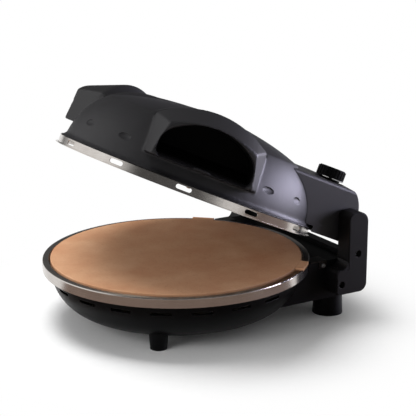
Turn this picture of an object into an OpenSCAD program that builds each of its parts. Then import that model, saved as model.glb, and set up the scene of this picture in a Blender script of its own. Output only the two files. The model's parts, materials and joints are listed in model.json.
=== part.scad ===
// Electric pizza maker with a hinged dome lid: a shallow bowl base with a stone, a domed lid with two
// scooped side grips, two rear hinge arms and a thermostat knob. Millimetres, +Z up, -Y is the front,
// +Y the hinge side, Z = 0 is the table the feet stand on. The origin is under the centre of the stone.

/* [Overall] */
// outer radius of the steel base ring
ring_r = 176; // [150:1:210]
// height of the ring's flat top above the table
ring_top = 82; // [70:1:100]
// height of the lid dome above the lid's own ring plane
dome_h = 107.5; // [100:0.5:125]
// angle the lid is shown open
lid_open = 24.4; // [0:0.2:80]

/* [Base] */
// outer wall height of the steel ring
ring_h = 12.6; // [9:0.2:18]
// width of the flat lip on top of the ring
ring_lip = 8; // [5:0.5:14]
// depth of the bowl below the ring
bowl_d = 56.4; // [45:0.2:70]
// number of vent slots round the bowl
bowl_slots = 20; // [12:1:28]
// gap between stone and ring lip
stone_gap = 2.5; // [1:0.1:5]
// thickness of the stone
stone_t = 13.4; // [9:0.1:18]
// radius of a rear foot
foot_r = 19.6; // [14:0.2:24]

/* [Hinge] */
// distance from the middle to the outer face of an arm
arm_x = 144.5; // [128:0.5:160]
// thickness of an arm, across the object
arm_t = 24.5; // [16:0.5:30]
// pivot distance behind the centre
piv_y = 197; // [190:1:215]
// pivot height above the ring's top plane
piv_z = 24; // [14:1:34]
// radius of the pivot pin
pin_r = 4.5; // [3:0.1:6]
// running clearance of a pin in its bore
pin_gap = 0.05; // [0.02:0.01:0.1]

/* [Lid] */
// height of the closed lid's lower lip above the ring
lid_gap = 6; // [4:0.5:9]
// height of the steel lid band
band_h = 10.6; // [9:0.2:14]
// number of slots round the lid band
band_slots = 12; // [8:1:20]
// wall of the lid shell
shell_t = 2.4; // [1.6:0.1:4]
// half width of a finger opening
grip_w = 60; // [50:1:61]
// height of the top of a finger opening above the lid's ring plane
grip_top = 87; // [80:1:87]
// radius of the grip lips about the middle of the lid
grip_out = 181; // [178:1:186]
// angle of a grip from the front
grip_az = 62; // [50:1:80]

/* [Knob] */
// radius of the knob grip
knob_r = 18.5; // [14:0.5:19.5]
// height of the knob grip
knob_h = 14.6; // [12:0.2:18]
// number of flutes
knob_flutes = 24; // [12:1:36]

/* [Hidden] */
$fn = 96;
RZ = ring_top;                       // ring plane
PZ = ring_top + piv_z;               // pivot height
arm_in = arm_x - arm_t;              // inner face of an arm
hous_x = arm_in - 1;                 // end face of the lid's rear housing
stone_r = ring_r - ring_lip - stone_gap;
bowl_r = ring_r - 11;                // bowl wall at its rim
bowl_arc = bowl_d;                   // radius of the bowl's round corner
bowl_c = bowl_r - bowl_arc;          // where the round corner starts
rim_z = RZ - ring_h;                 // bowl rim
bowl_bot = rim_z - bowl_arc;         // underside of the bowl
block_x = arm_in;                    // half width of the rear block
block_y = 201;                       // back of the rear block
block_z0 = RZ - 53.5;                // underside of the rear block
block_z1 = RZ - 1.4;                 // top of the rear block
LZ = RZ + lid_gap - 2.6;              // the lid's own ring plane, lid closed
band_z0 = RZ + lid_gap;              // lower lip of the lid band, lid closed
band_z1 = band_z0 + band_h;          // top of the lid band
band_r = ring_r - 3;                 // lid band outer radius
dome_r = ring_r - 9.3;                // dome wall at its foot
dome_z = LZ + dome_h;                // top of the dome
th_y = 152;                          // knob axis behind the centre, in the closed lid
th_x = 88;                           // knob axis to the right
hous_z0 = LZ + 10;
toe_y = 157.5;                       // front of an arm's toe
tab_y = toe_y - 6.5;                 // screw of a ring tab
seat = 0.3;                          // joint between two curved pieces of one body
hood_c = 122;                        // radius of the arch of a grip hood's roof
hood_z = LZ + dome_h - 0.6;          // ridge of a grip hood
tube = 3.25;                         // radius of a heating tube
hous_z1 = LZ + 86;                   // top of the housing's crowned roof
seat_z = hous_z1 - 6.4;              // floor of the round recess under the knob

// which node to show

black = [0.09, 0.09, 0.10];
dark = [0.05, 0.05, 0.06];
steel = [0.75, 0.75, 0.76];

// ---------- shared helpers ----------
module lid_pose() {
    translate([0, piv_y, PZ]) rotate([-lid_open, 0, 0]) translate([0, -piv_y, -PZ]) children();
}
module both(s) { if (s > 0) children(); else mirror([1, 0, 0]) children(); }
module ring_z(r0, r1, z0, z1) {
    translate([0, 0, z0]) difference() {
        cylinder(r = r1, h = z1 - z0, $fn = 180);
        translate([0, 0, -1]) cylinder(r = r0, h = z1 - z0 + 2, $fn = 180);
    }
}
module rod(r, h) { cylinder(r = r, h = h, $fn = 48); }

// ---------- base ----------
// solid of the bowl, grown or shrunk by g: flat bottom with a large round corner up to the rim
module bowl_solid(g) {
    rotate_extrude($fn = 180) intersection() {
        translate([0, bowl_bot - 20]) square([ring_r, rim_z - bowl_bot + 20]);
        union() {
            translate([bowl_c, rim_z]) circle(r = bowl_arc + g, $fn = 96);
            translate([0, bowl_bot - g]) square([bowl_c, rim_z - bowl_bot + g]);
        }
    }
}
module block_solid(g) {
    translate([-block_x - g, 40, block_z0 - g])
        cube([2 * (block_x + g), block_y + g - 40, block_z1 - block_z0 + 2 * g]);
}
module base_bowl() color(dark) difference() {
    union() {
        difference() {
            union() {
                bowl_solid(0);
                // flange the steel ring stands on
                ring_z(bowl_c, ring_r - 2.6, rim_z - 1.6, rim_z);
                // rear block that carries the arms
                difference() {
                    block_solid(0);
                    translate([0, 0, rim_z - 1.6]) cylinder(r = ring_r + 0.6, h = 80, $fn = 180);
                }
                // raised beam along the back edge, between the arms
                translate([-block_x, block_y - 13, block_z1 - 3]) cube([2 * block_x, 13, 9]);
            }
            bowl_solid(-1.8);
            // hollow of the rear block
            difference() {
                block_solid(-2.6);
                translate([0, 0, rim_z - 1.6 - 2.4]) cylinder(r = ring_r + 3, h = 80, $fn = 180);
                bowl_solid(0);
            }
            // opening between bowl and block for the wires
            translate([-30, 146, RZ - 31]) cube([60, 28, 14]);
        }
        // bosses for the arm screws
        for (s = [-1, 1]) translate([s * (block_x - 9), 166, RZ - 29.5]) rotate([0, 90, 0])
            translate([0, 0, -9]) rod(6, 18);
    }
    // vent slots just under the rim
    for (i = [0 : bowl_slots - 1]) rotate([0, 0, i * 360 / bowl_slots])
        if (abs(i - bowl_slots / 2) > 3) translate([-13.2, -bowl_r - 8, RZ - 26.7]) cube([26.4, 30, 4]);
    // holes for the low arm screws and the cord inlet
    for (s = [-1, 1]) translate([s * (block_x - 12), 166, RZ - 29.5]) rotate([0, s * 90, 0]) rod(2.5, 30);
    translate([-60, block_y + 5, RZ - 34]) rotate([90, 0, 0]) rod(8.5, 20);
    // screw holes of the ring tabs
    for (s = [-1, 1]) translate([s * (block_x - 10), tab_y, RZ - 6.8]) rotate([0, s * 90, 0]) rod(1.6, 30);
    // drain and cooling slots in the floor
    for (i = [0 : 7]) rotate([0, 0, i * 45 + 22.5]) translate([60, -2, bowl_bot - 4]) cube([34, 4, 12]);
}
// pressed steel ring: outer wall, flat lip, inner wall and the shelf the stone lies on
module base_ring() color(steel) difference() {
    rotate_extrude($fn = 180) difference() {
        union() {
            translate([ring_r - 1.2, rim_z]) square([1.2, ring_h - 1.5]);
            translate([ring_r - 1.5, RZ - 1.5]) circle(r = 1.5, $fn = 32);
            translate([ring_r - ring_lip, RZ - 1.2]) square([ring_lip - 1.5, 1.2]);
            translate([ring_r - ring_lip, rim_z]) square([1.2, ring_h]);
            translate([ring_r - ring_lip - 10, rim_z]) square([11, 1.2]);
        }
        translate([ring_r - 3, rim_z - 1]) square([1.8, ring_h - 0.7]);
    }
    // seats for the lugs of the stone
    for (s = [-1, 1]) lug_cut(s, 0.8, RZ - 3, 10);
}
module lug_cut(s, g, z0, h) {
    both(s) rotate([0, 0, 42.5]) translate([stone_r - 6, -15.5 - g, z0])
        cube([ring_r - stone_r + 5.4 + g, 31 + 2 * g, h]);
}
module stone() color([0.72, 0.52, 0.42]) difference() {
    union() {
        translate([0, 0, RZ + 2 - stone_t]) rotate_extrude($fn = 180) union() {
            square([stone_r - 1, stone_t]);
            translate([0, 1]) square([stone_r, stone_t - 2]);
            translate([stone_r - 1, 1]) circle(r = 1, $fn = 24);
            translate([stone_r - 1, stone_t - 1]) circle(r = 1, $fn = 24);
        }
        for (s = [-1, 1]) lug_cut(s, 0, RZ - 2.2, 3.8);
    }
    // shallow mark of the mould in the underside
    translate([0, 0, RZ - 12]) cylinder(r = 30, h = 1.2);
}
// tray under the lower heating element
module lower_pan() color([0.8, 0.8, 0.8]) difference() {
    rotate_extrude($fn = 120) union() {
        translate([0, RZ - 36]) square([150, 1]);
        translate([149, RZ - 36]) square([1, 36 - ring_h]);
        translate([149, rim_z - 1]) square([14, 1]);
    }
    pan_holes();
}
module pan_holes() for (s = [-1, 1]) translate([s * 17.1, 140, RZ - 22]) rotate([-90, 0, 0]) rod(2.5, 20);
module tube_ring(r, t, a, gap) {
    rotate([0, 0, gap / 2]) rotate_extrude(angle = 360 - gap, $fn = 120)
        translate([r, 0]) circle(r = t, $fn = 32);
}
// sheathed heating tube: outer and inner loop open at the back, with cold ends to the rear
module lower_heater() color([0.35, 0.34, 0.33]) translate([0, 0, RZ - 22]) {
    rotate([0, 0, 90]) tube_ring(122, tube, 360, 16);
    rotate([0, 0, 90]) tube_ring(74, tube, 360, 27);
    for (s = [-1, 1]) translate([s * 17.1, 69, 0]) rotate([-90, 0, 0]) rod(tube, 54);
    for (s = [-1, 1]) translate([s * 17.1, 118, 0]) rotate([-90, 0, 0]) rod(2.4, 64);
}
module heater_rest(i) {
    rotate([0, 0, -90 + i * 120]) color(steel) difference() {
        translate([60, -4, RZ - 35]) cube([76, 8, 13]);
        for (r = [122, 74]) translate([0, 0, RZ - 22])
            rotate_extrude($fn = 120) translate([r, 0]) circle(r = tube + 0.15, $fn = 32);
        translate([82, -5, RZ - 33]) cube([32, 10, 12]);
    }
}
module heater_rest_1() heater_rest(0);
module heater_rest_2() heater_rest(1);
module heater_rest_3() heater_rest(2);
module terminal_block() color([0.85, 0.82, 0.75]) difference() {
    translate([-32, 178, RZ - 50.9]) cube([64, 16, 34]);
    for (s = [-1, 1]) translate([s * 17.1, 170, RZ - 22]) rotate([-90, 0, 0]) rod(2.5, 12);
    for (x = [-20, 0, 20]) translate([x, 186, RZ - 18]) rod(3, 10);
}
// bushing in the back of the block for the mains lead
module cord_inlet() color(dark) difference() {
    translate([-60, 0, RZ - 34]) rotate([-90, 0, 0]) union() {
        translate([0, 0, block_y]) rod(12, 3);
        translate([0, 0, block_y - 8]) rod(8.5, 9);
        translate([0, 0, block_y - 5.6]) rod(11, 3);
        translate([0, 0, block_y + 3]) cylinder(r1 = 8, r2 = 5.5, h = 6, $fn = 48);
    }
    translate([-60, 150, RZ - 34]) rotate([-90, 0, 0]) rod(3.6, 80);
}
module foot_front() difference() {
    union() {
        translate([100, -82, 0]) cylinder(r1 = 10.7, r2 = 12.4, h = 24, $fn = 64);
        translate([100, -82, 0]) cylinder(r1 = 9.9, r2 = 10.9, h = 1.5, $fn = 64);
    }
    bowl_solid(0);
    translate([100, -82, -1]) rod(4, 5);
}
module foot_rear() difference() {
    translate([98, 177, 0]) union() {
        cylinder(r1 = foot_r + 0.5, r2 = foot_r - 0.4, h = block_z0, $fn = 64);
    }
    translate([98, 177, -1]) difference() { rod(foot_r - 5, 3); translate([0, 0, -1]) rod(foot_r - 9, 6); }
    translate([98, 177, -1]) rod(4, 5);
}
module foot_front_left() color(dark) both(-1) foot_front();
module foot_front_right() color(dark) foot_front();
module foot_rear_left() color(dark) both(-1) foot_rear();
module foot_rear_right() color(dark) foot_rear();

// ---------- hinge arms ----------
// side outline of an arm: upright with round corners and a short toe to the front at the bottom
module arm_shape(g) {
    r = 11; rt = 14;
    y0 = 175.5; y1 = 206; z0 = RZ - 43.5; z1 = RZ + 64.5; toe = toe_y; zt = RZ - 9.5;
    union() {
        translate([y0 + 8 - g, z1 - 8 + g]) circle(r = 8, $fn = 48);
        translate([y1 - rt + g, z1 - rt + g]) circle(r = rt, $fn = 48);
        translate([y1 - r + g, z0 + r - g]) circle(r = r, $fn = 48);
        translate([toe + 4 - g, z0 + 4 - g]) circle(r = 4, $fn = 48);
        translate([toe + 5 - g, zt - 5 + g]) circle(r = 5, $fn = 48);
        translate([y0 - g, z0 + 10]) square([y1 - rt + g - y0 + g, z1 - 8 + g - z0 - 10]);
        translate([y0 + 8 - g, z0 - g + 4]) square([y1 - rt - y0 - 8 + 2 * g, z1 - z0 - 4 + 2 * g]);
        translate([y1 - rt - 1, z0 + r - g]) square([rt + 1 + g, z1 - z0 - rt - r + 2 * g]);
        translate([toe + 5 - g, z0 + 4 - g]) square([y1 - toe - 16, zt - z0 - 4 + 2 * g]);
        translate([toe - g, z0 + 4 - g]) square([20, zt - z0 - 9 + 2 * g]);
        translate([toe + 4 - g, z0 - g]) square([y1 - r - toe - 4 + 2 * g, 20]);
    }
}
module arm() difference() {
    union() {
        translate([arm_in, 0, 0]) rotate([90, 0, 90]) linear_extrude(arm_t - 1.2) arm_shape(0);
        translate([arm_x - 1.2, 0, 0]) rotate([90, 0, 90]) linear_extrude(1.2) arm_shape(-1);
    }
    // bore for the pivot pin
    translate([arm_in - 1, piv_y, PZ]) rotate([0, 90, 0]) rod(pin_r + pin_gap, 14);
    // counterbored screw holes
    translate([arm_in - 1, 166, RZ - 29.5]) rotate([0, 90, 0]) rod(2.5, 40);
    translate([arm_x - 12, 166, RZ - 29.5]) rotate([0, 90, 0]) rod(4.6, 14);
    translate([arm_x - 12, 191, RZ + 9]) rotate([0, 90, 0]) rod(4.6, 14);
}
module arm_left() color(black) both(-1) arm();
module arm_right() color(black) arm();
module screw_head(r, h) difference() {
    rod(r, h);
    for (a = [0, 90]) rotate([0, 0, a]) translate([-r * 0.62, -0.5, h - 1.4]) cube([r * 1.24, 1, 2]);
}
module arm_screw_low() {
    translate([arm_x - 12, 166, RZ - 29.5]) rotate([0, 90, 0]) screw_head(4.4, 3.4);
    translate([arm_in - 12, 166, RZ - 29.5]) rotate([0, 90, 0]) rod(2.3, arm_t + 1);
}
module arm_screw_high() translate([arm_x - 12, 191, RZ + 9]) rotate([0, 90, 0]) screw_head(4.4, 3.4);
module arm_screw_left_low() color(steel) both(-1) arm_screw_low();
module arm_screw_left_high() color(steel) both(-1) arm_screw_high();
module arm_screw_right_low() color(steel) arm_screw_low();
module arm_screw_right_high() color(steel) arm_screw_high();

// small steel angle that ties the ring to the rear block
module ring_tab() difference() {
    union() {
        translate([block_x - 18, 132, block_z1]) cube([19.2, toe_y - 132.5, 1.2]);
        translate([block_x, 145, RZ - 10.8]) cube([1.2, toe_y - 145.5, 10.6]);
    }
    translate([0, 0, RZ - 20]) cylinder(r = ring_r + 0.4, h = 40, $fn = 180);
    translate([block_x - 5, tab_y, RZ - 6.8]) rotate([0, 90, 0]) rod(1.6, 20);
}
module tab_screw() {
    translate([block_x + 1.2, tab_y, RZ - 6.8]) rotate([0, 90, 0]) screw_head(3, 1.8);
    translate([block_x - 6, tab_y, RZ - 6.8]) rotate([0, 90, 0]) rod(1.5, 8);
}
module ring_tab_left() color(steel) both(-1) ring_tab();
module ring_tab_right() color(steel) ring_tab();
module tab_screw_left() color(steel) both(-1) tab_screw();
module tab_screw_right() color(steel) tab_screw();

// ---------- lid ----------
// half section of the dome, shrunk by g: a bulging wall up to a soft crease, then a shallow crown
module dome_half(g) {
    wr = 94.2;                                 // radius of the wall's bulge
    wc = dome_r - 93.9;
    wz = LZ + 8.5;
    er = 125;                                  // radius of the crease
    ed = 22.6;                                 // rise of the crown above the crease
    cr = (er * er + ed * ed) / (2 * ed);
    intersection() {
        translate([0, band_z1 - 40]) square([dome_r - g, 200]);
        union() {
            translate([0, band_z1 - 40]) square([dome_r - g, 41]);
            translate([wc, wz]) circle(r = wr - g, $fn = 256);
            translate([0, band_z1 - 40]) square([wc + 16, 200]);
        }
        translate([0, dome_z - cr]) circle(r = cr - g, $fn = 512);
    }
}
module dome_solid(g, z0) {
    intersection() {
        rotate_extrude($fn = 180) dome_half(g);
        translate([0, 0, z0]) cylinder(r = ring_r, h = 200, $fn = 180);
    }
}
// places children at a grip: local x runs outward, local y to the rear, z up
module at_grip() { rotate([0, 0, grip_az - 90]) children(); }
// arch of the grip hood's roof seen from outside, cut off below zb
module hood_arch(g, zb) {
    intersection() {
        translate([-72 + g, zb]) square([144 - 2 * g, 260]);
        translate([0, hood_z - hood_c]) circle(r = hood_c - g, $fn = 512);
    }
}
// half space beyond a plane through the local x axis point p whose normal leans b from +Z towards azimuth c
module beyond(p, b, c, g) {
    translate(p) rotate([0, b, c]) translate([-200, -200, -g]) cube([400, 400, 200]);
}
// grip hood: level ridge near the dome, then a roof that falls to a lip on a cylinder about the lid
module hood_solid(g) {
    intersection() {
        at_grip() difference() {
            intersection() {
                translate([22 + g, 0, 0]) rotate([90, 0, 90]) linear_extrude(180) hood_arch(g, LZ + 33.3 + g);
                translate([121, 0, hood_z]) rotate([0, 18, 0]) translate([-150, 0, -hood_z])
                    rotate([90, 0, 90]) linear_extrude(300) hood_arch(g, LZ - 45);
            }
            // cheeks that flare from the lip back to the dome
            for (s = [-1, 1]) beyond([grip_out + 2, s * (grip_w - 1), LZ + 40], 79.3, s * 70.9, g);
        }
        cylinder(r = grip_out - g, h = 400, $fn = 360);
    }
}
// outline of the finger opening: low arch over round sides and a flat floor
module grip_outline(g) {
    q = 27;                                    // radius of the sides
    zq = 49;                                   // height of the widest place
    a = grip_w - q;
    b = grip_top - zq;
    t = (a * a + b * b - q * q) / (2 * (b - q)); // radius of the arch, tangent to the sides
    u = a / (t - q);
    v = (zq - grip_top + t) / (t - q);
    z0 = 36.6;
    union() {
        for (s = [-1, 1]) {
            translate([s * a, LZ + zq]) circle(r = q - g, $fn = 96);
            translate([s * (grip_w - 6), LZ + z0 + 6]) circle(r = 6 - g, $fn = 48);
        }
        translate([-grip_w + g, LZ + z0 + 6]) square([2 * (grip_w - g), zq - z0 - 6]);
        translate([-grip_w + 6, LZ + z0 + g]) square([2 * (grip_w - 6), zq - z0 - g]);
        polygon([[-a, LZ + zq - 1], [a, LZ + zq - 1], [u * (t - g), LZ + grip_top - t + v * (t - g)],
            [-u * (t - g), LZ + grip_top - t + v * (t - g)]]);
        intersection() {
            translate([0, LZ + grip_top - t]) circle(r = t - g, $fn = 256);
            translate([-u * (t - g), LZ + zq + 4]) square([2 * u * (t - g), 60]);
        }
    }
}
module grip_hollow(g) {
    at_grip() difference() {
        translate([120 + g, 0, 0]) rotate([90, 0, 90]) linear_extrude(90) grip_outline(g);
        // floor climbs towards the back of the hollow
        beyond([dome_r - 5, 0, LZ + 36.6], 164, 180, g);
    }
}
// a louvre pocket low on the wall, grown by g
module louvre(g) for (a = [0, 24.5, -24.5, 95, -95, 117, -117]) rotate([0, 0, a])
    translate([0, -dome_r - 10.6, LZ + 38 - g]) cylinder(r = 15.8 + g, h = 5.4 + 2 * g, $fn = 96);
module lid_outer() { dome_solid(0, band_z1); for (s = [-1, 1]) both(s) hood_solid(0); }
module lid_shell() color(black) lid_pose() difference() {
    union() {
        difference() {
            lid_outer();
            dome_solid(shell_t, band_z1 - 1);
            for (s = [-1, 1]) both(s) hood_solid(shell_t);
        }
        // wall round each finger hollow
        intersection() {
            union() {
                for (s = [-1, 1]) both(s) grip_hollow(-shell_t);
                louvre(1.6);
            }
            lid_outer();
        }
        // flange and bead above the steel band
        ring_z(dome_r - 3, band_r, band_z1, band_z1 + 1.6);
        ring_z(dome_r - 3, dome_r + 2, band_z1, band_z1 + 4);
    }
    for (s = [-1, 1]) both(s) grip_hollow(0);
    // louvre pockets low on the wall
    louvre(0);
}
// dark liner of a finger hollow
module grip_liner() intersection() {
    difference() {
        grip_hollow(seat);
        grip_hollow(seat + 1.2);
        at_grip() translate([grip_out - 22, -100, 0]) cube([100, 200, 300]);
    }
    lid_outer();
}
module grip_liner_left() color(dark) lid_pose() both(-1) grip_liner();
module grip_liner_right() color(dark) lid_pose() grip_liner();
// box behind the dome that carries the pivots and the thermostat
module hous_profile(g) {
    r = 42;
    y1 = 195; y0 = 60;
    intersection() {
        union() {
            translate([y0, hous_z0 + g]) square([y1 - y0 - r, hous_z1 - hous_z0 - 2 * g]);
            translate([y0, hous_z0 + g]) square([y1 - y0 - g, hous_z1 - hous_z0 - r - g]);
            translate([y1 - r, hous_z1 - r]) circle(r = r - g, $fn = 96);
        }
    }
}
// housing grown inwards by g: the side profile under a roof that is crowned from end to end
module hous_solid(g) {
    intersection() {
        translate([-hous_x + g, 0, 0]) rotate([90, 0, 90]) linear_extrude(2 * hous_x - 2 * g) hous_profile(g);
        translate([0, 210, 0]) rotate([90, 0, 0]) linear_extrude(170) union() {
            intersection() {
                translate([0, hous_z1 - 900]) circle(r = 900 - g, $fn = 720);
                translate([-hous_x + 4, hous_z0]) square([2 * hous_x - 8, 120]);
            }
            for (s = [-1, 1]) translate([s * (hous_x - 4), hous_z1 - 7.4 - 4]) circle(r = 4 - g, $fn = 48);
            translate([-hous_x + g, hous_z0]) square([2 * hous_x - 2 * g, hous_z1 - hous_z0 - 11.4]);
        }
    }
}
module lid_housing() color(black) lid_pose() difference() {
    union() {
        difference() {
            hous_solid(0);
            difference() {
                hous_solid(2.4);
                dome_solid(-2.6, 0);
                cylinder(r = band_r + 6.4, h = band_z1 + 7, $fn = 180);
            }
        }
        // floor of the recess under the knob
        intersection() {
            hous_solid(0.2);
            translate([th_x, th_y, seat_z - 2.4]) cylinder(r = knob_r + 4.4, h = 20, $fn = 96);
        }
        // hinge knuckles
        for (s = [-1, 1]) translate([s * (hous_x - 12) - 12, piv_y, PZ]) rotate([0, 90, 0]) rod(9, 24);
    }
    dome_solid(-seat, 0);
    cylinder(r = band_r + 4, h = band_z1 + 4.6, $fn = 180);
    for (s = [-1, 1]) translate([s * (hous_x - 24), piv_y, PZ]) rotate([0, s * 90, 0]) translate([0, 0, 0])
        rod(pin_r + 0.02, 30);
    // shaft hole of the thermostat
    translate([th_x, th_y, hous_z1 - 20]) rod(3.4, 40);
    translate([th_x, th_y, seat_z]) cylinder(r = knob_r + 2, h = 20, $fn = 96);
}
// steel band round the foot of the lid, with oval slots and an out-turned lower lip
module lid_band() color(steel) lid_pose() difference() {
    union() {
        ring_z(band_r - 1, band_r, band_z0, band_z1);
        ring_z(band_r - 1, band_r + 3, band_z0, band_z0 + 1);
        ring_z(dome_r - 6, band_r, band_z1 - 1, band_z1);
    }
    for (i = [0 : band_slots - 1]) rotate([0, 0, i * 360 / band_slots - 2.2])
        translate([0, -band_r - 5, band_z0 + 6.1]) rotate([-90, 0, 0]) union() {
            translate([-7, 0, 0]) cylinder(r = 2.8, h = 12, $fn = 32);
            translate([7, 0, 0]) cylinder(r = 2.8, h = 12, $fn = 32);
            translate([-7, -2.8, 0]) cube([14, 5.6, 12]);
        }
}
// bright inner dome over the upper heating element
module lid_reflector() color([0.8, 0.8, 0.8]) lid_pose() difference() {
    rotate_extrude($fn = 120) union() {
        translate([0, LZ + 34]) square([108, 1]);
        translate([107, band_z1 - 2]) square([1, LZ + 37 - band_z1]);
        translate([107, band_z1 - 2]) square([dome_r - 6 - 107, 1]);
        translate([dome_r - 7, band_z1 - 2]) square([1, 2]);
    }
    for (s = [-1, 1]) translate([s * 17.4, 84, LZ + 30]) rod(2.4, 10);
}
module upper_heater() color([0.35, 0.34, 0.33]) lid_pose() translate([0, 0, LZ + 22]) {
    rotate([0, 0, 90]) tube_ring(92, tube, 360, 22);
    rotate([0, 0, 90]) tube_ring(56, tube, 360, 36);
    for (s = [-1, 1]) translate([s * 17.4, 0, 0]) rotate([-90, 0, 0]) translate([0, 0, 50.5]) rod(tube, 42);
    for (s = [-1, 1]) translate([s * 17.4, 84, 0]) rod(2.4, 20);
}
module heater_post(i) {
    rotate([0, 0, -90 + i * 120]) color(steel) difference() {
        union() {
            translate([51, -4, LZ + 29]) cube([46, 8, 5]);
            for (r = [56, 92]) translate([r - 5, -4, LZ + 17.5]) cube([10, 8, 14]);
        }
        for (r = [92, 56]) translate([0, 0, LZ + 22])
            rotate_extrude($fn = 120) translate([r, 0]) circle(r = tube + 0.15, $fn = 32);
    }
}
module heater_post_1() lid_pose() heater_post(0);
module heater_post_2() lid_pose() heater_post(1);
module heater_post_3() lid_pose() heater_post(2);
module hinge_pin(s) {
    both(s) translate([hous_x - 24, piv_y, PZ]) rotate([0, 90, 0]) union() { rod(pin_r, 24 + 1 + 12.5); }
}
module hinge_pin_left() color(steel) hinge_pin(-1);
module hinge_pin_right() color(steel) hinge_pin(1);
// thermostat body under the recess in the housing roof, with its shaft
module thermostat() color([0.6, 0.6, 0.58]) lid_pose() translate([th_x, th_y, seat_z]) union() {
    translate([-15, -9, -2.4 - 14]) cube([30, 22, 14]);
    translate([0, 0, -8]) rod(3.4, 8);
    translate([0, 0, -1]) rod(2.9, 11);
}
// fluted cap over a narrower neck
module knob() color(dark) lid_pose() translate([th_x, th_y, seat_z + 0.6]) difference() {
    union() {
        cylinder(r = 14.6, h = 4, $fn = 96);
        translate([0, 0, 2.8]) cylinder(r = knob_r - 0.4, h = knob_h - 1.2, $fn = 96);
        translate([0, 0, 2.8]) cylinder(r = knob_r - 1.4, h = knob_h, $fn = 96);
        translate([0, 0, 2.8]) cylinder(r = knob_r + 0.5, h = 1.3, $fn = 96);
        for (i = [0 : knob_flutes - 1]) rotate([0, 0, i * 360 / knob_flutes])
            translate([knob_r - 1.2, -1.1, 3.4]) cube([1.6, 2.2, knob_h - 1.8]);
    }
    translate([0, 0, -1]) rod(2.9 + pin_gap, 10.6);
    translate([0, 0, -1]) difference() { rod(11.6, 5); translate([0, 0, -1]) rod(6, 8); }
    translate([-0.8, knob_r - 8, knob_h + 2]) cube([1.6, 12, 2]);
}

base_bowl();
base_ring();
stone();
lower_pan();
lower_heater();
heater_rest_1();
heater_rest_2();
heater_rest_3();
terminal_block();
cord_inlet();
foot_front_left();
foot_front_right();
foot_rear_left();
foot_rear_right();
arm_left();
arm_right();
arm_screw_left_low();
arm_screw_left_high();
arm_screw_right_low();
arm_screw_right_high();
ring_tab_left();
ring_tab_right();
tab_screw_left();
tab_screw_right();
lid_shell();
lid_housing();
lid_band();
lid_reflector();
upper_heater();
heater_post_1();
heater_post_2();
heater_post_3();
grip_liner_left();
grip_liner_right();
hinge_pin_left();
hinge_pin_right();
thermostat();
knob();
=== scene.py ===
"""Looks of the electric pizza maker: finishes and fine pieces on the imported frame, then the studio."""
import json
import math

import bmesh
import bpy
import numpy as np
from mathutils import Matrix, Vector


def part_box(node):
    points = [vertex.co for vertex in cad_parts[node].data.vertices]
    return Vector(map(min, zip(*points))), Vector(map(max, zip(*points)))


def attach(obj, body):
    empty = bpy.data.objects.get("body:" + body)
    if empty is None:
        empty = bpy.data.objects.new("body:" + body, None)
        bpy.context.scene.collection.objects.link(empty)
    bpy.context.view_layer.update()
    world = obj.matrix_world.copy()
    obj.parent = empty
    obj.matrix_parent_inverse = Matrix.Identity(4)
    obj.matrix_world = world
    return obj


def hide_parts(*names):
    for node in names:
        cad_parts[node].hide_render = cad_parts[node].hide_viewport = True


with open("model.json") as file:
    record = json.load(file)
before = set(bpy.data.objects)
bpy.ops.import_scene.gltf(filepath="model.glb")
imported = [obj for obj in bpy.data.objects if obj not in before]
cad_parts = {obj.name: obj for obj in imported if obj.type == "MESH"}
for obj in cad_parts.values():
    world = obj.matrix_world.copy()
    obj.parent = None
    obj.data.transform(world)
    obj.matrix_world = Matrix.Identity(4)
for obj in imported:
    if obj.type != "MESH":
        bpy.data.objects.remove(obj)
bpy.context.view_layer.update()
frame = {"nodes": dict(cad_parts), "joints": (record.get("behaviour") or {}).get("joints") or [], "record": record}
nodes = frame["nodes"]
joints = {joint["name"]: joint for joint in frame["joints"]}

MM = 0.001     # Blender's lengths are metres; the object's own are written in millimetres

# ---------------------------------------------------------------- the lid and its turn
# The lid's pieces are placed as in the closed lid, and turned from there to where the lid rests.
PIVOT = Vector(joints["lid_hinge"]["pos_m"])
LID_OPEN = math.radians(-joints["lid_hinge"]["range_deg"][0])    # the range begins at the closed lid
RING_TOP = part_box("base_ring")[1].z
LID_PLANE = RING_TOP + 3.4 * MM    # the plane that the closed lid's heights are counted from


def lid_place(matrix=Matrix()):
    """Takes a place in the closed lid to where the lid stands at rest."""
    turn = Matrix.Rotation(-LID_OPEN, 4, "X")
    return Matrix.Translation(PIVOT) @ turn @ Matrix.Translation(-PIVOT) @ matrix


# ---------------------------------------------------------------- measures of the fine pieces
# Heights on the knob are from its foot.
DIAL = lid_place().inverted() @ Vector(joints["dial_turn"]["pos_m"])
KNOB_R, KNOB_TOP = 18.5 * MM, 17.4 * MM       # the knob's grip
RIM_R, RIM_FOOT = 19.0 * MM, 2.8 * MM         # the rim low on the knob
DASHES = ((24, 49), (63, 132), (148, 200), (216, 270), (286, 322))     # from and to, in degrees
DASH_HEIGHT = 0.9 * MM
DASH_RELIEF = 0.1 * MM                                # how far the white dashes stand proud of the rim
POINTER_HALF = 0.6 * MM                       # half the width of the pointer's fill
POINTER_INSETS = (7.6 * MM, 1.8 * MM)         # its two ends, in from the edge of the knob's grip
POINTER_SINKS = (1.9 * MM, 0.5 * MM)          # its bottom and top, under the knob's top

RIVETS, RIVET_RING, RIVET_LEVEL = 6, 135 * MM, LID_PLANE + 11.2 * MM

ARM_CORNER = (175.5 * MM, RING_TOP - 9.5 * MM)      # corner between an arm's upright and its toe (y, z)
ARM_FILLET, ARM_FLATS = 11 * MM, 8                  # its radius, and the flats along it
ARM_FACES = (120.2 * MM, 144.45 * MM)               # just inside the arm's two side faces (x)

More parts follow.
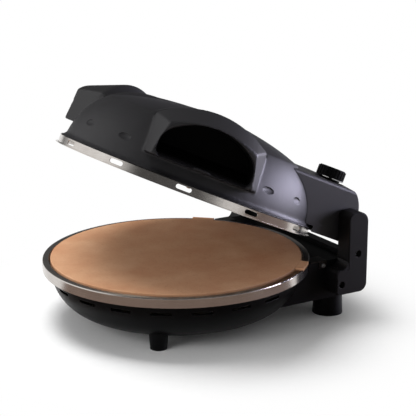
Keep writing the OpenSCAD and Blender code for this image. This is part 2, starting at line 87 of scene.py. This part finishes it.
# ---------------------------------------------------------------- measures of the moulded shell
# Radii are from the dome's axis, and heights from LID_PLANE.
BEND_MID, BEND_R = (72.8 * MM, 8.5 * MM), 94.2 * MM     # the bend of the dome's side: its centre and radius
CROWN = 107.5 * MM                                      # height of the crown's middle
CROWN_SINK = 0.8 * MM                                   # how far the crown settles,
CROWN_EDGE = (60 * MM, 115 * MM)                        # less and less between these radii
CROWN_SKIN = 90 * MM                                    # only the skin above this height settles
HOOD_TURN = math.radians(28)                            # from the side towards the front
HOOD_TOP, HOOD_ARCH = CROWN - 0.6 * MM, 122 * MM        # height of a roof's ridge, radius of its arch
HOOD_HALF, HOOD_WALL = 72.5 * MM, 4.6 * MM              # half a roof's width, more than its thickness
RAMP_START, RAMP_SLOPE = 122 * MM, 0.55                 # how far out a roof starts to fall, how steeply
SHELL_VOXEL = 1.3 * MM
POCKET_TURNS = (0, 24.5, 95, 117)                       # to both sides of the front, in degrees
POCKET_R, POCKET_LEVEL = 161.7 * MM, 40.7 * MM
POCKET_TILT = math.radians(34)
POCKET_HALF = (9.8 * MM, 1.9 * MM, 5.2 * MM)            # half of a pocket's width, depth and height

# ---------------------------------------------------------------- the studio, in metres
FLOOR_R = 9.0
FADE_MID, FADE = (0.01, 0.02, 0), (0.17, 0.36)     # from and to which radius the floor turns white
ROOM = 0.37                                        # strength of the even room light
SCREEN_SIDE = (-0.576, -0.753, 0.31)               # direction to the white screen that gloss mirrors
SCREEN_EDGE = (0.62, 0.9)                          # cosines off that direction where it begins and is full
SCREEN_LEVELS = (0.09, 1.0)                        # what gloss mirrors beside the screen and in it
CARD_RADII, CARD_LEVELS = (0.19, 1.1), (0.0006, 0.0010)
CARD_TURN = (-25, 148)                             # round the object from the front, in degrees
OVERHEAD = (-0.44, -0.30, 1.7)
CAMERA_PLACE, CAMERA_AIM = (1.44994, -0.81267, 0.60703), (0.00608, 0.04527, 0.14052)
FOCAL_PX, FRAME_PX = 1316.9, 416                   # focal length and the frame's width, in pixels
SENSOR = 36.0                                      # width in millimetres


# ---------------------------------------------------------------- colours and nodes
def srgb(code):
    """sRGB hex to linear RGBA."""
    out = []
    for i in (1, 3, 5):
        c = int(code[i:i + 2], 16) / 255
        out.append(c / 12.92 if c <= 0.04045 else ((c + 0.055) / 1.055) ** 2.4)
    return (*out, 1.0)


def wire(node, **inputs):
    """Sets a node's sockets, given by name or by _number, or links them where the value is a socket."""
    for key, value in inputs.items():
        socket = node.inputs[int(key[1:]) if key[0] == "_" else key.replace("_", " ")]
        if isinstance(value, bpy.types.NodeSocket):
            node.id_data.links.new(value, socket)
        else:
            socket.default_value = value


def add(tree, kind, out=0, stops=(), settings=None, **inputs):
    """Adds a node with its settings, a ramp's (position, hex) stops and its inputs. Returns one output."""
    node = tree.nodes.new(kind)
    for key, value in (settings or {}).items():
        setattr(node, key, value)
    for i, (position, code) in enumerate(stops):
        colours = node.color_ramp.elements
        stop = colours[i] if i < len(colours) else colours.new(position)
        stop.position, stop.color = position, srgb(code)
    wire(node, **inputs)
    return node.outputs[out]


def material(name):
    """An empty node material. Returns it, its tree, its Principled surface and the object's coordinates."""
    mat = bpy.data.materials.new(name)
    mat.use_nodes = True
    tree = mat.node_tree
    return mat, tree, tree.nodes["Principled BSDF"], add(tree, "ShaderNodeTexCoord", "Object")


# ---------------------------------------------------------------- materials
def moulded_black(name, dark, light, rough, grain, depth, gloss):
    """Heat-proof black polymer out of a spark-eroded mould: an even fine grain, a soft wide highlight, and
    faint clouds about 60 mm across where the melt cooled unevenly. The real grain is about 0.1 mm and is
    drawn coarser, so that it still shows. Edges look rounded by 0.7 mm, as a mould leaves them."""
    mat, tree, shader, where = material(name)
    cloud = add(tree, "ShaderNodeTexNoise", Vector=where, Scale=1 / (60 * MM), Detail=2.0, Roughness=0.55)
    fine = add(tree, "ShaderNodeTexNoise", Vector=where, Scale=1 / grain, Detail=4.0, Roughness=0.6)
    melt = add(tree, "ShaderNodeMix", Factor=0.35, A=cloud, B=fine)
    edge = add(tree, "ShaderNodeBevel", settings={"samples": 4}, Radius=0.7 * MM)
    wire(shader,
         Base_Color=add(tree, "ShaderNodeValToRGB", stops=[(0.35, dark), (0.68, light)], _0=melt),
         Roughness=add(tree, "ShaderNodeMapRange", Value=melt, To_Min=rough[0], To_Max=rough[1]),
         Normal=add(tree, "ShaderNodeBump", Height=fine, Distance=depth, Strength=0.6, Normal=edge),
         IOR=1.5, Specular_IOR_Level=gloss)
    return mat


def pressed_stainless():
    """Stainless strip rolled and pressed into a ring: bright, with fine lines that run round the ring, and
    faint clouding from handling, about 35 mm across. The lines are about 0.3 mm apart, drawn at 0.6 mm."""
    mat, tree, shader, where = material("pressed_stainless")
    axes = add(tree, "ShaderNodeVectorMath", settings={"operation": "MULTIPLY"}, _0=where, _1=(1, 1, 0))
    radius = add(tree, "ShaderNodeVectorMath", "Value", settings={"operation": "LENGTH"}, _0=axes)
    height = add(tree, "ShaderNodeSeparateXYZ", "Z", Vector=where)
    section = add(tree, "ShaderNodeCombineXYZ", X=radius, Z=height)
    lines = add(tree, "ShaderNodeTexNoise", Vector=section, Scale=1 / (0.6 * MM), Detail=2.0, Roughness=0.5)
    cloud = add(tree, "ShaderNodeTexNoise", Vector=where, Scale=1 / (35 * MM), Detail=3.0, Roughness=0.55)
    both = add(tree, "ShaderNodeMix", Factor=0.5, A=lines, B=cloud)
    wire(shader,
         Base_Color=add(tree, "ShaderNodeValToRGB", stops=[(0.3, "#b9b1ab"), (0.7, "#dedad5")], _0=both),
         Roughness=add(tree, "ShaderNodeMapRange", Value=both, To_Min=0.13, To_Max=0.27),
         Normal=add(tree, "ShaderNodeBump", Height=lines, Distance=0.04 * MM, Strength=0.35),
         Metallic=1.0)
    return mat


def plated_steel(name, dark, light):
    """Zinc-plated or heat-blued steel of small parts, with a slight mottled bloom about 2 mm across."""
    mat, tree, shader, where = material(name)
    bloom = add(tree, "ShaderNodeTexNoise", Vector=where, Scale=1 / (2 * MM), Detail=4.0, Roughness=0.55)
    wire(shader,
         Base_Color=add(tree, "ShaderNodeValToRGB", stops=[(0.3, dark), (0.7, light)], _0=bloom),
         Roughness=add(tree, "ShaderNodeMapRange", Value=bloom, To_Min=0.22, To_Max=0.42),
         Normal=add(tree, "ShaderNodeBump", Height=bloom, Distance=0.03 * MM, Strength=0.4),
         Metallic=1.0)
    return mat


def aluminised_sheet():
    """Aluminised steel sheet of a reflector: soft bright, with crystal spangle about 4 mm across, tinted
    straw by heat in patches of about 70 mm."""
    mat, tree, shader, where = material("aluminised_sheet")
    crystal = add(tree, "ShaderNodeTexVoronoi", "Color", Vector=where, Scale=1 / (4 * MM))
    spangle = add(tree, "ShaderNodeSeparateColor", Color=crystal)
    heat = add(tree, "ShaderNodeTexNoise", Vector=where, Scale=1 / (70 * MM), Detail=3.0, Roughness=0.55)
    wire(shader,
         Base_Color=add(tree, "ShaderNodeValToRGB", stops=[(0.35, "#c4c3c0"), (0.72, "#b7ab95")], _0=heat),
         Roughness=add(tree, "ShaderNodeMapRange", Value=spangle, To_Min=0.28, To_Max=0.46),
         Normal=add(tree, "ShaderNodeBump", Height=spangle, Distance=0.02 * MM, Strength=0.3),
         Metallic=1.0)
    return mat


def heater_alloy():
    """Nickel alloy sheath of a heating tube, oxidised dark grey-green by its own heat in blotches of about
    8 mm."""
    mat, tree, shader, where = material("heater_sheath_alloy")
    oxide = add(tree, "ShaderNodeTexNoise", Vector=where, Scale=1 / (8 * MM), Detail=4.0, Roughness=0.55)
    wire(shader,
         Base_Color=add(tree, "ShaderNodeValToRGB", stops=[(0.3, "#3b3934"), (0.7, "#6a665d")], _0=oxide),
         Roughness=add(tree, "ShaderNodeMapRange", Value=oxide, To_Min=0.4, To_Max=0.62),
         Normal=add(tree, "ShaderNodeBump", Height=oxide, Distance=0.06 * MM, Strength=0.5),
         Metallic=0.85)
    return mat


def baking_stone():
    """Cordierite baking stone, pressed and fired: warm tan, open grain with dark and pale grit of 0.5 to
    1 mm, drawn at 1.6 mm, and broad darker patches of about 50 mm where it has been baked on."""
    mat, tree, shader, where = material("cordierite_stone")
    patch = add(tree, "ShaderNodeTexNoise", Vector=where, Scale=1 / (50 * MM), Detail=4.0, Roughness=0.55)
    grit = add(tree, "ShaderNodeTexNoise", Vector=where, Scale=1 / (1.6 * MM), Detail=3.0, Roughness=0.7)
    clay = [(0.3, "#c8936f"), (0.55, "#d0a07c"), (0.78, "#d9ab88")]
    spots = [(0.28, "#a98470"), (0.42, "#ffffff"), (1.0, "#ffffff")]
    wire(shader,
         Base_Color=add(tree, "ShaderNodeMix", 2, settings={"data_type": "RGBA", "blend_type": "MULTIPLY"},
                        _0=0.7,
                        _6=add(tree, "ShaderNodeValToRGB", stops=clay, _0=patch),
                        _7=add(tree, "ShaderNodeValToRGB", stops=spots, _0=grit)),
         Roughness=add(tree, "ShaderNodeMapRange", Value=grit, To_Min=0.8, To_Max=0.95),
         Normal=add(tree, "ShaderNodeBump", Height=grit, Distance=0.3 * MM, Strength=0.5),
         Specular_IOR_Level=0.25)
    return mat


def steatite():
    """Unglazed white steatite of the terminal block: chalky, with a fine speck about 1.5 mm apart."""
    mat, tree, shader, where = material("steatite_ceramic")
    speck = add(tree, "ShaderNodeTexNoise", Vector=where, Scale=1 / (1.5 * MM), Detail=3.0, Roughness=0.55)
    wire(shader,
         Base_Color=add(tree, "ShaderNodeValToRGB", stops=[(0.3, "#d6d0c2"), (0.6, "#ece8dd")], _0=speck),
         Roughness=add(tree, "ShaderNodeMapRange", Value=speck, To_Min=0.6, To_Max=0.8))
    return mat


def matte_dial_white():
    """Nearly matte white of the dial: the pad-printed ink of the pointer's fill, and the dashes round the knob's
    rim; a little thin in places every 2 mm or so.
    """
    mat, tree, shader, where = material("dial_white_finish")
    thin = add(tree, "ShaderNodeTexNoise", Vector=where, Scale=1 / (2 * MM), Detail=2.0, Roughness=0.55)
    wire(shader,
         Base_Color=add(tree, "ShaderNodeValToRGB", stops=[(0.3, "#d9d9d6"), (0.6, "#f4f4f1")], _0=thin),
         Roughness=add(tree, "ShaderNodeMapRange", Value=thin, To_Min=0.5, To_Max=0.65))
    return mat


def studio_paper(name, dark, light, rough):
    """Plain paper without gloss, with faint flecks about 10 mm across."""
    mat, tree, shader, where = material(name)
    fleck = add(tree, "ShaderNodeTexNoise", Vector=where, Scale=1 / (10 * MM), Detail=2.0, Roughness=0.55)
    wire(shader,
         Base_Color=add(tree, "ShaderNodeValToRGB", stops=[(0.2, dark), (0.8, light)], _0=fleck),
         Roughness=rough, Specular_IOR_Level=0.0)
    return mat


shell_black = moulded_black("matte_shell_polymer", "#111012", "#18171a", rough=(0.47, 0.56), grain=0.7 * MM,
                            depth=0.10 * MM, gloss=0.5)
body_black = moulded_black("satin_body_polymer", "#050506", "#09090a", rough=(0.34, 0.46), grain=0.6 * MM,
                           depth=0.06 * MM, gloss=0.09)
arm_black = moulded_black("arm_polymer", "#0b0a0b", "#100f10", rough=(0.40, 0.52), grain=0.6 * MM,
                          depth=0.08 * MM, gloss=0.18)
liner_black = moulded_black("grip_liner_polymer", "#020202", "#040404", rough=(0.6, 0.75), grain=0.8 * MM,
                            depth=0.08 * MM, gloss=0.08)
pad_rubber = moulded_black("foot_pad_rubber", "#101010", "#1a1a1a", rough=(0.65, 0.8), grain=0.9 * MM,
                           depth=0.06 * MM, gloss=0.3)
zinc = plated_steel("zinc_plated_steel", "#a9abad", "#d2d3d2")
blued_steel = plated_steel("heat_blued_steel", "#2e2c2b", "#4a4744")
dial_white_mat = matte_dial_white()

# the finish of each material slot of the record, and of the nodes that differ from their slot's
SLOT_FINISH = {
    "black_shell": shell_black,
    "black_plastic": body_black,
    "stainless": pressed_stainless(),
    "zinc_steel": zinc,
    "aluminised_sheet": aluminised_sheet(),
    "heater_sheath": heater_alloy(),
    "ceramic_white": steatite(),
    "cooking_stone": baking_stone(),
}
NODE_FINISH = {
    "arm_left": arm_black,
    "arm_right": arm_black,
    "grip_liner_left": liner_black,
    "grip_liner_right": liner_black,
    "ring_tab_left": blued_steel,
    "ring_tab_right": blued_steel,
}


def dress(mesh, finish):
    """Gives a whole mesh one finish."""
    mesh.materials.clear()
    mesh.materials.append(finish)
    for poly in mesh.polygons:
        poly.material_index = 0


for row in frame["record"]["subparts"]:
    dress(nodes[row["node"]].data, NODE_FINISH.get(row["node"], SLOT_FINISH[row["material_slot"]]))


# ---------------------------------------------------------------- making meshes
def build(name, draw, place=Matrix()):
    """Makes an object of the mesh that the function draw draws, moved to its place."""
    shape = bmesh.new()
    draw(shape)
    bmesh.ops.transform(shape, matrix=place, verts=shape.verts)
    bmesh.ops.recalc_face_normals(shape, faces=shape.faces)
    mesh = bpy.data.meshes.new(name)
    shape.to_mesh(mesh)
    shape.free()
    obj = bpy.data.objects.new(name, mesh)
    bpy.context.scene.collection.objects.link(obj)
    return obj


def smooth(mesh, sharp_from):
    """Shades a mesh smooth, except at edges sharper than an angle in degrees."""
    for poly in mesh.polygons:
        poly.use_smooth = True
    mesh.set_sharp_from_angle(angle=math.radians(sharp_from))


def piece(name, draw, finish, body, place=Matrix()):
    """A fine piece that rides on a body of the frame, in the finish it is given."""
    obj = build(name, draw, place)
    smooth(obj.data, 35)
    dress(obj.data, finish)
    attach(obj, body)


def arc_strip(shape, radii, levels, turn, steps):
    """A curved bar: part of a ring between two radii, two levels and two turns from the front, in degrees."""
    corners = [(radii[0], levels[0]), (radii[1], levels[0]), (radii[1], levels[1]), (radii[0], levels[1])]
    rows = []
    for i in range(steps + 1):
        a = math.radians(turn[0] + (turn[1] - turn[0]) * i / steps)
        rows.append([shape.verts.new((r * math.sin(a), -r * math.cos(a), z)) for r, z in corners])
    for one, two in zip(rows, rows[1:]):
        for k in range(4):
            shape.faces.new((one[k], one[(k + 1) % 4], two[(k + 1) % 4], two[k]))
    shape.faces.new(rows[0])
    shape.faces.new(rows[-1][::-1])


def lathe(shape, profile, steps):
    """Turns (radius, height) points about Z."""
    rings = []
    for i in range(steps):
        a = 2 * math.pi * i / steps
        rings.append([shape.verts.new((r * math.cos(a), r * math.sin(a), z)) for r, z in profile])
    for one, two in zip(rings, rings[1:] + rings[:1]):
        for k in range(len(profile) - 1):
            shape.faces.new((one[k], two[k], two[k + 1], one[k + 1]))
    bmesh.ops.remove_doubles(shape, verts=shape.verts, dist=1e-6)


def prism(shape, near, far):
    """A straight bar between two like outlines."""
    ends = [[shape.verts.new(point) for point in outline] for outline in (near, far)]
    for k in range(len(near)):
        n = (k + 1) % len(near)
        shape.faces.new((ends[0][k], ends[0][n], ends[1][n], ends[1][k]))
    shape.faces.new(ends[0][::-1])
    shape.faces.new(ends[1])


# ---------------------------------------------------------------- fine pieces
def dial_rim_dashes(shape):
    """White dashes round the knob's rim."""
    radii = (RIM_R - 3 * DASH_RELIEF, RIM_R + DASH_RELIEF)
    levels = (RIM_FOOT + DASH_RELIEF, RIM_FOOT + DASH_RELIEF + DASH_HEIGHT)
    for turn in DASHES:
        arc_strip(shape, radii, levels, turn, 16)


def dial_pointer(shape):
    """White fill of the pointer groove in the knob's top."""
    y0, y1 = (KNOB_R - inset for inset in POINTER_INSETS)
    outline = [(-POINTER_HALF, y0), (POINTER_HALF, y0), (POINTER_HALF, y1), (-POINTER_HALF, y1)]
    prism(shape, *([(x, y, KNOB_TOP - sink) for x, y in outline] for sink in POINTER_SINKS))


def rivet(shape):
    """Low domed rivet head 7 mm across."""
    profile = [(3.5, 0), (3.5, 0.4), (3.1, 1.1), (2.2, 1.6), (1.1, 1.9), (0, 2.0)]
    lathe(shape, [(r * MM, z * MM) for r, z in profile], 32)


def foot_pad(shape):
    """Soft ring pad let into the groove under a rear foot."""
    profile = [(10.8, 2.2), (10.8, 0.5), (11.2, 0.1), (14.2, 0.1), (14.5, 0.5), (14.5, 2.2), (10.8, 2.2)]
    lathe(shape, [(r * MM, z * MM) for r, z in profile], 64)


def arm_fillet(shape):
    """Concave corner between an arm's upright and its toe, for the right arm."""
    y, z = ARM_CORNER
    profile = [(y, z), (y, z + ARM_FILLET)]
    for i in range(ARM_FLATS + 1):
        a = math.radians(-90 * i / ARM_FLATS)
        profile.append((y + ARM_FILLET * (math.cos(a) - 1), z + ARM_FILLET * (math.sin(a) + 1)))
    prism(shape, *([(x, y, z) for y, z in profile] for x in ARM_FACES))
    bmesh.ops.remove_doubles(shape, verts=shape.verts, dist=1e-6)


dial = lid_place(Matrix.Translation(DIAL))
# white dashes round the knob's rim, in the same white as the pointer's fill
piece("dial_rim_white_dashes", dial_rim_dashes, dial_white_mat, "dial", dial)
piece("dial_pointer_fill", dial_pointer, dial_white_mat, "dial", dial)
for i in range(RIVETS):
    spoke = Matrix.Rotation(math.radians((i + 0.5) * 360 / RIVETS), 4, "Z")
    face_down = Matrix.Translation((RIVET_RING, 0, RIVET_LEVEL)) @ Matrix.Rotation(math.pi, 4, "X")
    piece(f"reflector_rivet_{i + 1}", rivet, zinc, "lid", lid_place(spoke @ face_down))
for side in ("left", "right"):
    low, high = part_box(f"foot_rear_{side}")
    under_foot = Matrix.Translation(((low.x + high.x) / 2, (low.y + high.y) / 2, 0))
    piece(f"rear_foot_pad_{side}", foot_pad, pad_rubber, "base", under_foot)
for side, mirror in (("left", Matrix.Diagonal((-1, 1, 1, 1))), ("right", Matrix())):
    piece(f"arm_fillet_{side}", arm_fillet, arm_black, "base", mirror)


# ---------------------------------------------------------------- the moulded shell
def smooth_step(low, high, value):
    """0 below low, 1 above high, with a soft rise between."""
    t = np.clip((value - low) / (high - low), 0, 1)
    return t * t * (3 - 2 * t)


def dome_height(r):
    """Height of the dome at a radius: the bend of its side, and inside of that the rise of its crown."""
    bend = BEND_MID[1] + np.sqrt(np.maximum(BEND_R ** 2 - np.maximum(r - BEND_MID[0], 0) ** 2, 0))
    crown = CROWN - (CROWN - BEND_MID[1] - BEND_R) * (r / BEND_MID[0]) ** 2
    return np.where(r > BEND_MID[0], bend, crown)


def settle_roofs(mesh, place):
    """Brings the inner end of each grip hood's roof down onto the dome in a short ramp, and lowers the
    crown a little. Both faces of the wall move alike, so it keeps its thickness."""
    flat = np.empty(len(mesh.vertices) * 3)
    mesh.vertices.foreach_get("co", flat)
    to_lid = np.array(Matrix.Translation((0, 0, -LID_PLANE)) @ lid_place().inverted() @ place)
    x, y, z = to_lid[:3, :3] @ flat.reshape(-1, 3).T + to_lid[:3, 3:]
    r = np.hypot(x, y)
    drop = np.zeros(len(r))
    for side in (1, -1):
        along = x * side * math.cos(HOOD_TURN) - y * math.sin(HOOD_TURN)
        across = x * side * math.sin(HOOD_TURN) + y * math.cos(HOOD_TURN)
        roof = HOOD_TOP - HOOD_ARCH + np.sqrt(np.maximum(HOOD_ARCH ** 2 - across ** 2, 0))
        fall = np.maximum(dome_height(r) - roof, -RAMP_SLOPE * (RAMP_START - along))
        on_roof = (along > 0) & (along < RAMP_START) & (abs(across) < HOOD_HALF) & (z > roof - HOOD_WALL)
        drop = np.where(on_roof, np.minimum(drop, fall), drop)
    drop -= CROWN_SINK * (1 - smooth_step(*CROWN_EDGE, r)) * (z > CROWN_SKIN)
    back = np.linalg.inv(to_lid)
    settled = back[:3, :3] @ np.array([x, y, z + drop]) + back[:3, 3:]
    mesh.vertices.foreach_set("co", settled.T.ravel())
    mesh.update()


def baked(obj):
    """Puts what the modifiers make of a piece into its own mesh, drops them and returns the mesh."""
    mesh = bpy.data.meshes.new_from_object(obj.evaluated_get(bpy.context.evaluated_depsgraph_get()))
    obj.modifiers.clear()
    obj.data = mesh
    return mesh


def pocket_lenses(shape):
    """Lens shapes that press the shell's louvre pockets: deep at the foot, running out upward."""
    lens = Matrix.Rotation(-POCKET_TILT, 4, "X") @ Matrix.Diagonal((*POCKET_HALF, 1))
    out = Matrix.Translation((0, -POCKET_R, LID_PLANE + POCKET_LEVEL)) @ lens
    for turn in sorted({sign * turn for turn in POCKET_TURNS for sign in (1, -1)}):
        place = lid_place(Matrix.Rotation(math.radians(turn), 4, "Z") @ out)
        bmesh.ops.create_uvsphere(shape, u_segments=40, v_segments=24, radius=1.0, matrix=place)


def moulded_shell():
    """The shell as it comes out of its mould: the frame's shell with its roofs settled on the dome, every
    edge soft, and the louvre pockets pressed in. It is remeshed fine, so that smoothing rounds its edges by
    about 3 mm, then thinned."""
    cad = nodes["lid_shell"]
    obj = bpy.data.objects.new("lid_shell_moulded", cad.data.copy())
    obj.matrix_world = cad.matrix_world
    bpy.context.scene.collection.objects.link(obj)
    skin = obj.modifiers.new("skin", "REMESH")
    skin.mode, skin.voxel_size = "VOXEL", SHELL_VOXEL
    settle_roofs(baked(obj), obj.matrix_world)
    soft = obj.modifiers.new("soft", "SMOOTH")
    soft.factor, soft.iterations = 0.5, 14
    thin = obj.modifiers.new("thin", "DECIMATE")
    thin.ratio = 0.35
    cutter = build("pocket_lenses", pocket_lenses)
    cut = obj.modifiers.new("pockets", "BOOLEAN")
    cut.operation, cut.solver, cut.object = "DIFFERENCE", "EXACT", cutter
    mesh = baked(obj)
    bpy.data.objects.remove(cutter)
    dress(mesh, shell_black)
    smooth(mesh, 40)
    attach(obj, "lid")
    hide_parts("lid_shell")


moulded_shell()


# ---------------------------------------------------------------- floor, lamps, camera
def floor():
    """A pale paper floor. It shows the object's shadow near the object, and runs into the white backdrop
    further out."""
    obj = build("studio_floor",
                lambda shape: bmesh.ops.create_circle(shape, cap_ends=True, radius=FLOOR_R, segments=96))
    mat = studio_paper("studio_paper", "#f8f8f8", "#fcfcfc", 0.85)
    tree = mat.node_tree
    radius = add(tree, "ShaderNodeVectorMath", "Value", settings={"operation": "DISTANCE"},
                 _0=add(tree, "ShaderNodeTexCoord", "Object"), _1=FADE_MID)
    faded = add(tree, "ShaderNodeMapRange", settings={"interpolation_type": "SMOOTHERSTEP"}, Value=radius,
                From_Min=FADE[0], From_Max=FADE[1])
    seen = add(tree, "ShaderNodeMath", settings={"operation": "MAXIMUM"},
               _0=add(tree, "ShaderNodeLightPath", "Is Camera Ray"),
               _1=add(tree, "ShaderNodeLightPath", "Is Glossy Ray"))
    share = add(tree, "ShaderNodeMath", settings={"operation": "MULTIPLY"}, _0=seen, _1=faded)
    white = add(tree, "ShaderNodeEmission", Color=(1, 1, 1, 1), Strength=1.0)
    paper = tree.nodes["Principled BSDF"].outputs[0]
    wire(tree.nodes["Material Output"],
         Surface=add(tree, "ShaderNodeMixShader", _0=share, _1=paper, _2=white))
    dress(obj.data, mat)


def dark_card():
    """A dark card on the floor round the front of the object, seen by gloss only: it gives bright metal its
    dark lower lines, as a product table does."""
    obj = build("dark_card", lambda shape: arc_strip(shape, CARD_RADII, CARD_LEVELS, CARD_TURN, 60))
    dress(obj.data, studio_paper("card_paper", "#7a6a62", "#86766d", 0.9))
    obj.visible_camera = obj.visible_diffuse = obj.visible_shadow = False


def backdrop():
    """A white backdrop and a dim room. Rays that light matt surfaces find an even room; those mirrored by
    metal or gloss find a dim one with a white screen on the left."""
    world = bpy.data.worlds.new("studio")
    bpy.context.scene.world = world
    world.use_nodes = True
    tree = world.node_tree
    mirrored = add(tree, "ShaderNodeMath", settings={"operation": "MAXIMUM"},
                   _0=add(tree, "ShaderNodeLightPath", "Is Glossy Ray"),
                   _1=add(tree, "ShaderNodeLightPath", "Is Transmission Ray"))
    along = add(tree, "ShaderNodeVectorMath", "Value", settings={"operation": "DOT_PRODUCT"},
                _0=add(tree, "ShaderNodeTexCoord", "Generated"), _1=SCREEN_SIDE)
    screen = add(tree, "ShaderNodeMapRange", settings={"interpolation_type": "SMOOTHSTEP"}, Value=along,
                 From_Min=SCREEN_EDGE[0], From_Max=SCREEN_EDGE[1],
                 To_Min=SCREEN_LEVELS[0], To_Max=SCREEN_LEVELS[1])
    room = add(tree, "ShaderNodeMix", _0=mirrored, _2=ROOM, _3=screen)
    level = add(tree, "ShaderNodeMath", settings={"operation": "MAXIMUM"},
                _0=add(tree, "ShaderNodeLightPath", "Is Camera Ray"), _1=room)
    wire(tree.nodes["Background"], Color=(1, 1, 1, 1), Strength=level)


def soft_box(name, place, aim, size, power, colour="#ffffff", gloss=True, matt=True):
    """An area lamp of a width and height, turned to aim, that shows in gloss, on matt surfaces, or both."""
    light = bpy.data.lights.new(name, "AREA")
    light.shape = "RECTANGLE"
    light.size, light.size_y = size
    light.energy = power
    light.color = srgb(colour)[:3]
    obj = bpy.data.objects.new(name, light)
    obj.location = place
    obj.rotation_euler = (Vector(aim) - Vector(place)).to_track_quat("-Z", "Y").to_euler()
    obj.visible_glossy, obj.visible_diffuse = gloss, matt
    bpy.context.scene.collection.objects.link(obj)


def lamps():
    """Soft light from above with little gloss, a cool side box for gloss alone, and a weak fill in front.
    The side box lights no floor, so it adds no shadow."""
    soft_box("overhead_soft_box", OVERHEAD, (0, 0, 0), (0.8, 0.8), 17, gloss=False)
    soft_box("overhead_spark", OVERHEAD, (0, 0, 0), (0.8, 0.8), 8)
    soft_box("side_soft_box", (0.55, 1.85, 0.33), (0, 0, 0.2), (2.0, 0.6), 62, "#e8e4ff", matt=False)
    soft_box("front_fill", (0.3, -1.7, 0.8), (0, 0, 0.15), (1.0, 1.0), 12, gloss=False)


def camera():
    """Stands where a camera fitted to the photograph stands."""
    cam = bpy.data.cameras.new("camera")
    cam.sensor_width = SENSOR
    cam.lens = FOCAL_PX / FRAME_PX * SENSOR
    cam.clip_end = 50
    obj = bpy.data.objects.new("camera", cam)
    obj.location = CAMERA_PLACE
    obj.rotation_euler = (Vector(CAMERA_AIM) - obj.location).to_track_quat("-Z", "Y").to_euler()
    bpy.context.scene.collection.objects.link(obj)
    bpy.context.scene.camera = obj


floor()
dark_card()
backdrop()
lamps()
camera()
bpy.context.scene.view_settings.view_transform = "Standard"
